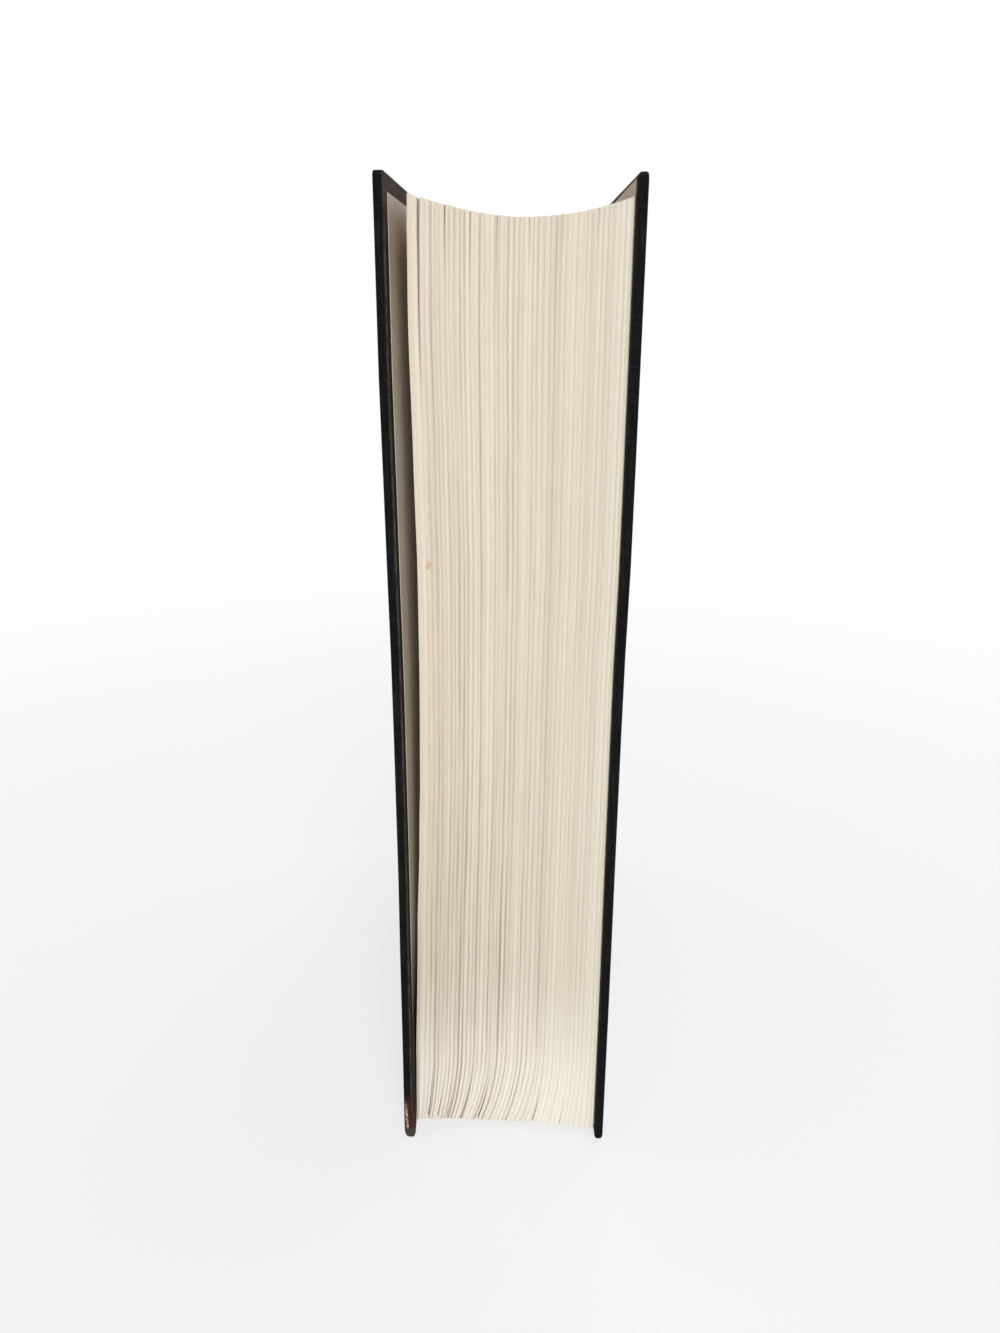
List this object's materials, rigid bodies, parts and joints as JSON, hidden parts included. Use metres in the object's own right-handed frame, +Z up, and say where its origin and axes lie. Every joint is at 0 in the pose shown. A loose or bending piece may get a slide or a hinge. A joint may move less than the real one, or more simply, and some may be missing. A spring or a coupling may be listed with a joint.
{
  "type": "hardcover book",
  "caption": "Thick hardcover book standing upright on its tail, with black cloth covers that open on their hinges and cream leaves with a concave fore-edge.",
  "frame": {"origin": "middle of the foot of the book's bounding box, on the surface it stands on", "axes": "+Z up to the head of the book, -Y towards the fore-edge, -X towards the front cover"},
  "size_m": [0.0542, 0.1629, 0.241],
  "materials": {
    "leaves": "matte",
    "endpaper": "matte",
    "book_cloth": "satin",
    "greyboard": "matte",
    "card": "matte",
    "gauze": "matte",
    "kraft_paper": "matte",
    "band": "matte"
  },
  "bodies": {
    "book_block": {"text_block": "leaves", "front_flyleaf": "endpaper", "back_flyleaf": "endpaper", "spine_gauze": "gauze", "spine_lining": "kraft_paper", "headband": "band", "tailband": "band", "spine_inlay": "card", "spine_cloth": "book_cloth"},
    "front_cover": {"front_board": "greyboard", "front_cover_cloth": "book_cloth", "front_pastedown": "endpaper", "front_joint_cloth": "book_cloth", "front_endpaper_fold": "endpaper"},
    "back_cover": {"back_board": "greyboard", "back_cover_cloth": "book_cloth", "back_pastedown": "endpaper", "back_joint_cloth": "book_cloth", "back_endpaper_fold": "endpaper"}
  },
  "joints": [
    {"name": "front_cover_hinge", "type": "hinge", "parent": "book_block", "child": "front_cover", "pos_m": [-0.01795, 0.07205, 0.1205], "axis": [0, 0, -1], "range_deg": [0, 177.5], "deforming": ["front_joint_cloth", "front_endpaper_fold"]},
    {"name": "back_cover_hinge", "type": "hinge", "parent": "book_block", "child": "back_cover", "pos_m": [0.02464, 0.07205, 0.1205], "axis": [0, 0, 1], "range_deg": [0, 180], "deforming": ["back_joint_cloth", "back_endpaper_fold"]}
  ]
}
